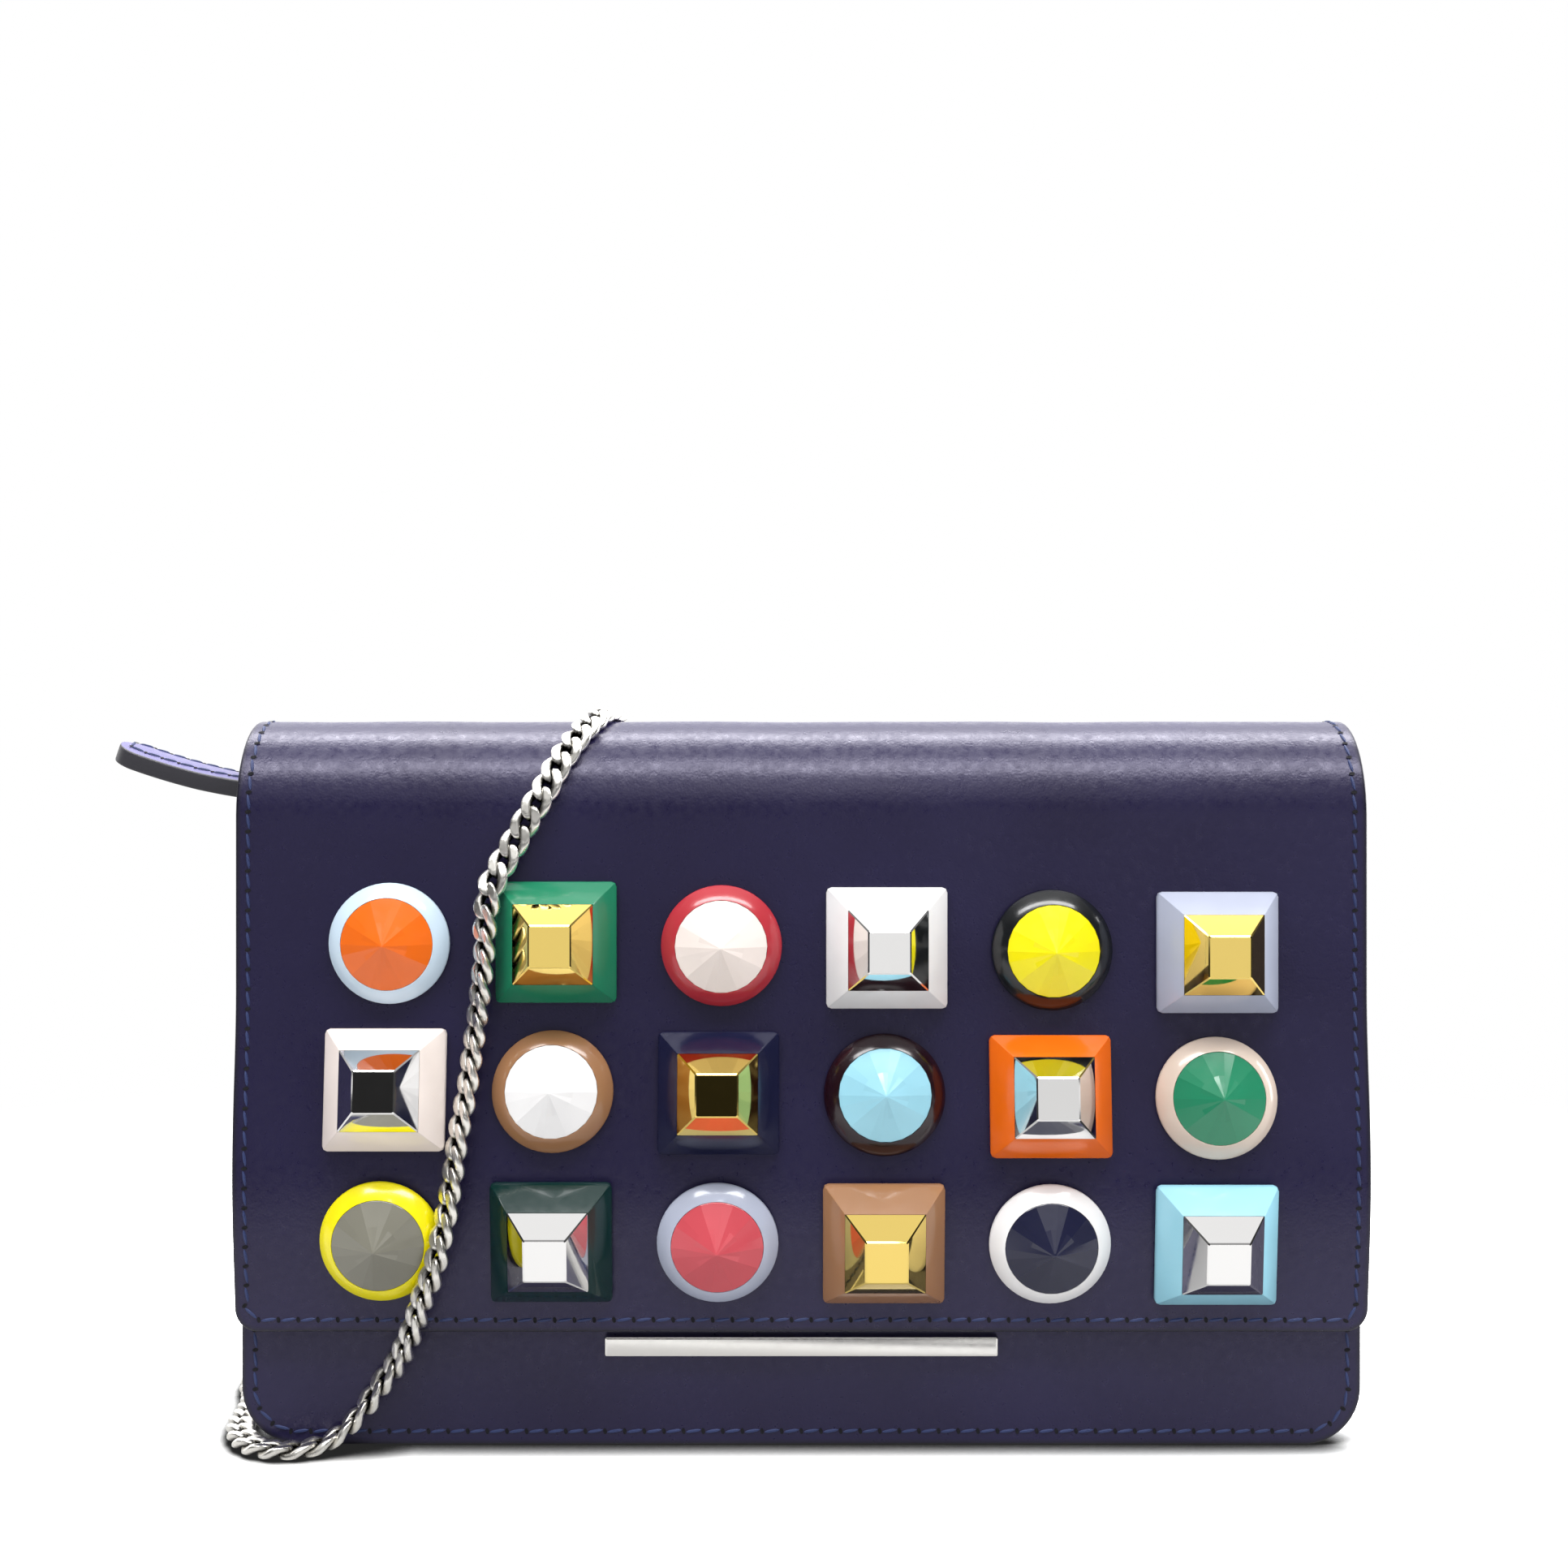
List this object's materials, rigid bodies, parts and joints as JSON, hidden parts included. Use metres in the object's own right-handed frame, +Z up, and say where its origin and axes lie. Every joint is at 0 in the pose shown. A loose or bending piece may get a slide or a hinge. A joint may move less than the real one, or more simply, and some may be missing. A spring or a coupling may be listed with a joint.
{
  "type": "chain wallet",
  "caption": "Small flap wallet on a chain strap: bellows gusset, zip pocket, card slots, magnetic flap set with round and square studs",
  "frame": {"origin": "middle of the back panel's bottom edge, half-way through its thickness", "axes": "+X along the width, to the right as the flap is faced; +Y from the flap to the back, through the thickness; +Z up"},
  "size_m": [0.2239, 0.0934, 0.1295],
  "materials": {
    "calfskin": "smooth navy calfskin, semi-gloss, edges painted near black, blue thread",
    "lining": "matte navy lining leather",
    "silver_metal": "polished palladium plate",
    "gold_metal": "polished pale gold plate",
    "zip_cloth": "woven zip tape",
    "sky_enamel": "glossy lacquer",
    "orange_enamel": "glossy lacquer",
    "green_enamel": "glossy lacquer",
    "crimson_enamel": "glossy lacquer",
    "blush_enamel": "glossy lacquer",
    "white_enamel": "glossy lacquer",
    "black_enamel": "glossy lacquer",
    "yellow_enamel": "glossy lacquer",
    "slate_enamel": "glossy lacquer",
    "tan_enamel": "glossy lacquer",
    "navy_enamel": "glossy lacquer",
    "oxblood_enamel": "glossy lacquer",
    "azure_enamel": "glossy lacquer",
    "grey_enamel": "glossy lacquer",
    "bottle_enamel": "glossy lacquer",
    "coral_enamel": "glossy lacquer"
  },
  "bodies": {
    "wallet_body": {"back_panel": "calfskin", "front_panel": "calfskin", "gusset": "calfskin", "zip_pocket_front": "lining", "zip_pocket_back": "lining", "zip_tape": "zip_cloth", "zip_teeth": "silver_metal", "card_pocket": "lining", "magnet_socket": "silver_metal", "front_bar": "silver_metal", "ring_tab_left": "calfskin", "ring_tab_right": "calfskin", "chain_left": "silver_metal", "chain_front": "silver_metal", "chain_back": "silver_metal", "chain_right": "silver_metal", "chain_hank": "silver_metal", "chain_tie": "calfskin"},
    "flap": {"flap_panel": "calfskin", "magnet_stud": "silver_metal", "round_rim_r1c1": "sky_enamel", "cone_r1c1": "orange_enamel", "square_rim_r1c2": "green_enamel", "pyramid_r1c2": "gold_metal", "round_rim_r1c3": "crimson_enamel", "cone_r1c3": "blush_enamel", "square_rim_r1c4": "white_enamel", "pyramid_r1c4": "silver_metal", "round_rim_r1c5": "black_enamel", "cone_r1c5": "yellow_enamel", "square_rim_r1c6": "slate_enamel", "pyramid_r1c6": "gold_metal", "square_rim_r2c1": "blush_enamel", "pyramid_r2c1": "silver_metal", "round_rim_r2c2": "tan_enamel", "cone_r2c2": "white_enamel", "square_rim_r2c3": "navy_enamel", "pyramid_r2c3": "gold_metal", "round_rim_r2c4": "oxblood_enamel", "cone_r2c4": "azure_enamel", "square_rim_r2c5": "orange_enamel", "pyramid_r2c5": "silver_metal", "round_rim_r2c6": "blush_enamel", "cone_r2c6": "green_enamel", "round_rim_r3c1": "yellow_enamel", "cone_r3c1": "grey_enamel", "square_rim_r3c2": "bottle_enamel", "pyramid_r3c2": "silver_metal", "round_rim_r3c3": "slate_enamel", "cone_r3c3": "coral_enamel", "square_rim_r3c4": "tan_enamel", "pyramid_r3c4": "gold_metal", "round_rim_r3c5": "white_enamel", "cone_r3c5": "navy_enamel", "square_rim_r3c6": "azure_enamel", "pyramid_r3c6": "silver_metal"},
    "slider": {"zip_slider": "silver_metal"},
    "pull": {"zip_pull": "calfskin"},
    "left_ring": {"ring_left": "silver_metal"},
    "right_ring": {"ring_right": "silver_metal"}
  },
  "joints": [
    {"name": "flap_hinge", "type": "hinge", "parent": "wallet_body", "child": "flap", "pos_m": [0, -0.0159, 0.126], "axis": [-1, 0, 0], "range_deg": [0, 175], "deforming": ["chain_front"]},
    {"name": "zip_slide", "type": "slide", "parent": "wallet_body", "child": "slider", "axis": [1, 0, 0], "range_m": [0, 0.157]},
    {"name": "pull_swing", "type": "hinge", "parent": "slider", "child": "pull", "pos_m": [-0.0818, -0.0145, 0.1126], "axis": [0, 1, 0], "range_deg": [-9, 0.5]},
    {"name": "ring_left_swing", "type": "hinge", "parent": "wallet_body", "child": "left_ring", "pos_m": [-0.09012, -0.0145, 0.09], "axis": [0, 1, 0], "range_deg": [0, 60], "deforming": ["chain_left"]},
    {"name": "ring_right_swing", "type": "hinge", "parent": "wallet_body", "child": "right_ring", "pos_m": [0.09012, -0.0145, 0.09], "axis": [0, -1, 0], "range_deg": [0, 60], "deforming": ["chain_right"]}
  ]
}
